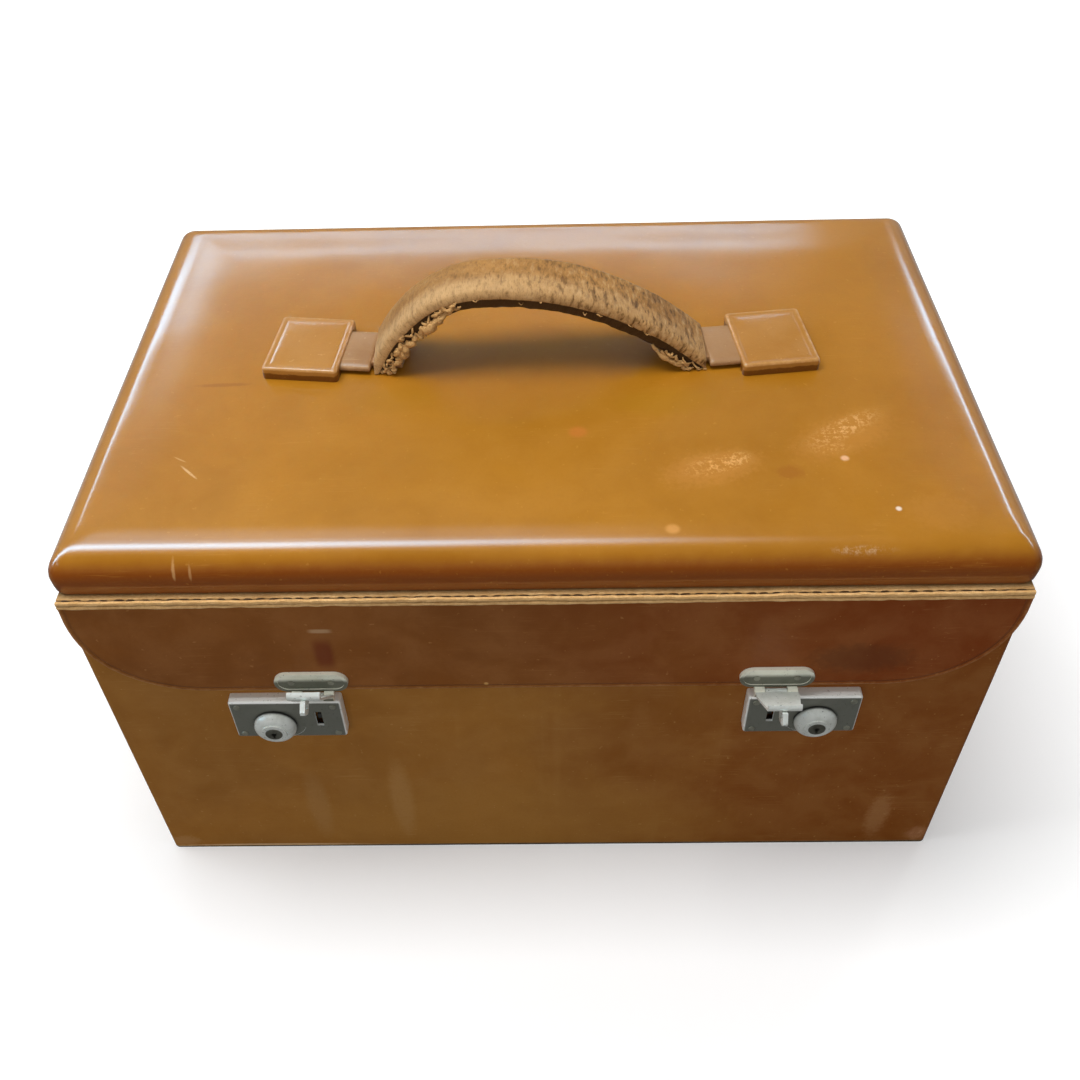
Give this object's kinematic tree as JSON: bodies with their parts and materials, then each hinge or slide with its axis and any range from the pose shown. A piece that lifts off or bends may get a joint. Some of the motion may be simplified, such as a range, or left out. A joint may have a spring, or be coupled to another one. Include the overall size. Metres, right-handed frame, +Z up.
{
  "type": "travelling dressing case",
  "caption": "Rectangular leather dressing case with hinged lid, hanging front flap, hasp locks, sliding-tongue handle, lid stays, mirror and bottle rack.",
  "frame": {"origin": "centre of the underside of the base", "axes": "+X to the right of someone who faces the locks, +Y to the back, +Z up"},
  "size_m": [0.366, 0.2638, 0.244],
  "materials": {
    "wood": "planed softwood, glued under the leather",
    "tan_leather": "glossy polished tan hide with fine scratches",
    "brown_leather": "satin darkened brown hide",
    "raw_leather": "worn raw flesh side and cut edges",
    "lining_cloth": "ribbed silk over card",
    "mirror_frame_leather": "thin polished hide over card",
    "mirror_glass": "silvered glass",
    "clear_glass": "polished pressed glass",
    "cap_metal": "polished plate",
    "nickel": "dull tarnished nickel plate",
    "stay_metal": "dull lacquered brass"
  },
  "bodies": {
    "case": {"base_board": "wood", "front_board": "wood", "back_board": "wood", "left_board": "wood", "right_board": "wood", "body_leather": "brown_leather", "base_leather": "raw_leather", "body_lining": "lining_cloth", "rim_lip": "lining_cloth", "bottle_rack": "lining_cloth", "scent_bottle_left": "clear_glass", "cream_jar_left": "clear_glass", "cream_jar_right": "clear_glass", "scent_bottle_right": "clear_glass", "scent_bottle_left_cap": "cap_metal", "cream_jar_left_cap": "cap_metal", "cream_jar_right_cap": "cap_metal", "scent_bottle_right_cap": "cap_metal", "hinge_leaf_body_left": "nickel", "hinge_leaf_body_right": "nickel", "hinge_pin_left": "nickel", "hinge_pin_right": "nickel", "hinge_screws_body": "nickel", "stay_stud_left": "stay_metal", "stay_stud_right": "stay_metal", "lock_case_left": "nickel", "lock_case_right": "nickel", "lock_rivets": "nickel"},
    "lid": {"lid_board": "wood", "lid_frame": "wood", "lid_leather": "tan_leather", "front_flap": "brown_leather", "lid_lining": "lining_cloth", "mirror_frame": "mirror_frame_leather", "mirror_glass": "mirror_glass", "hinge_leaf_lid_left": "nickel", "hinge_leaf_lid_right": "nickel", "hinge_screws_lid": "nickel", "stay_pivot_left": "stay_metal", "stay_pivot_right": "stay_metal", "handle_tab_left": "tan_leather", "handle_tab_right": "tan_leather", "handle_grip": "raw_leather", "hasp_plate_left": "nickel", "hasp_plate_right": "nickel", "hasp_pin_left": "nickel", "hasp_pin_right": "nickel", "hasp_rivets": "nickel"},
    "stay_left": {"stay_arm_left": "stay_metal"},
    "hasp_left": {"hasp_left": "nickel"},
    "lock_slide_left": {"lock_slide_left": "nickel"},
    "key_left": {"key_barrel_left": "nickel"},
    "tongue_left": {"handle_tongue_left": "tan_leather"},
    "stay_right": {"stay_arm_right": "stay_metal"},
    "hasp_right": {"hasp_right": "nickel"},
    "lock_slide_right": {"lock_slide_right": "nickel"},
    "key_right": {"key_barrel_right": "nickel"},
    "tongue_right": {"handle_tongue_right": "tan_leather"}
  },
  "joints": [
    {"name": "lid_hinge", "type": "hinge", "parent": "case", "child": "lid", "pos_m": [0, 0.11945, 0.1832], "axis": [-1, 0, 0], "range_deg": [0, 105]},
    {"name": "stay_left_pivot", "type": "hinge", "parent": "lid", "child": "stay_left", "pos_m": [-0.16725, 0.05774, 0.1892], "axis": [-1, 0, 0], "range_deg": [-52.5, 0]},
    {"name": "stay_right_pivot", "type": "hinge", "parent": "lid", "child": "stay_right", "pos_m": [0.16725, 0.05774, 0.1892], "axis": [-1, 0, 0], "range_deg": [-52.5, 0]},
    {"name": "hasp_left_hinge", "type": "hinge", "parent": "lid", "child": "hasp_left", "pos_m": [-0.0925, -0.12275, 0.1306], "axis": [-1, 0, 0], "range_deg": [-140, 25], "stiffness_Nm_per_rad": 0.02},
    {"name": "hasp_right_hinge", "type": "hinge", "parent": "lid", "child": "hasp_right", "pos_m": [0.0925, -0.12275, 0.1306], "axis": [-1, 0, 0], "range_deg": [-120, 45], "stiffness_Nm_per_rad": 0.02},
    {"name": "lock_slide_left_travel", "type": "slide", "parent": "case", "child": "lock_slide_left", "axis": [1, 0, 0], "range_m": [0, 0.0032], "stiffness_N_per_m": 300},
    {"name": "lock_slide_right_travel", "type": "slide", "parent": "case", "child": "lock_slide_right", "axis": [-1, 0, 0], "range_m": [0, 0.0032], "stiffness_N_per_m": 300},
    {"name": "key_left_turn", "type": "hinge", "parent": "lock_slide_left", "child": "key_left", "pos_m": [-0.111, -0.11675, 0.111], "axis": [0, -1, 0], "range_deg": [0, 90]},
    {"name": "key_right_turn", "type": "hinge", "parent": "lock_slide_right", "child": "key_right", "pos_m": [0.111, -0.11675, 0.111], "axis": [0, -1, 0], "range_deg": [0, 90]},
    {"name": "handle_tongue_left_travel", "type": "slide", "parent": "lid", "child": "tongue_left", "axis": [-0.9945, 0.1045, 0], "range_m": [0, 0.0115]},
    {"name": "handle_tongue_right_travel", "type": "slide", "parent": "lid", "child": "tongue_right", "axis": [0.9945, 0.1045, 0], "range_m": [0, 0.0115]}
  ],
  "couplings": [
    {"joint": "stay_left_pivot", "follows": "lid_hinge", "ratio": -0.5},
    {"joint": "stay_right_pivot", "follows": "lid_hinge", "ratio": -0.5},
    {"joint": "handle_tongue_right_travel", "follows": "handle_tongue_left_travel", "ratio": 1}
  ]
}
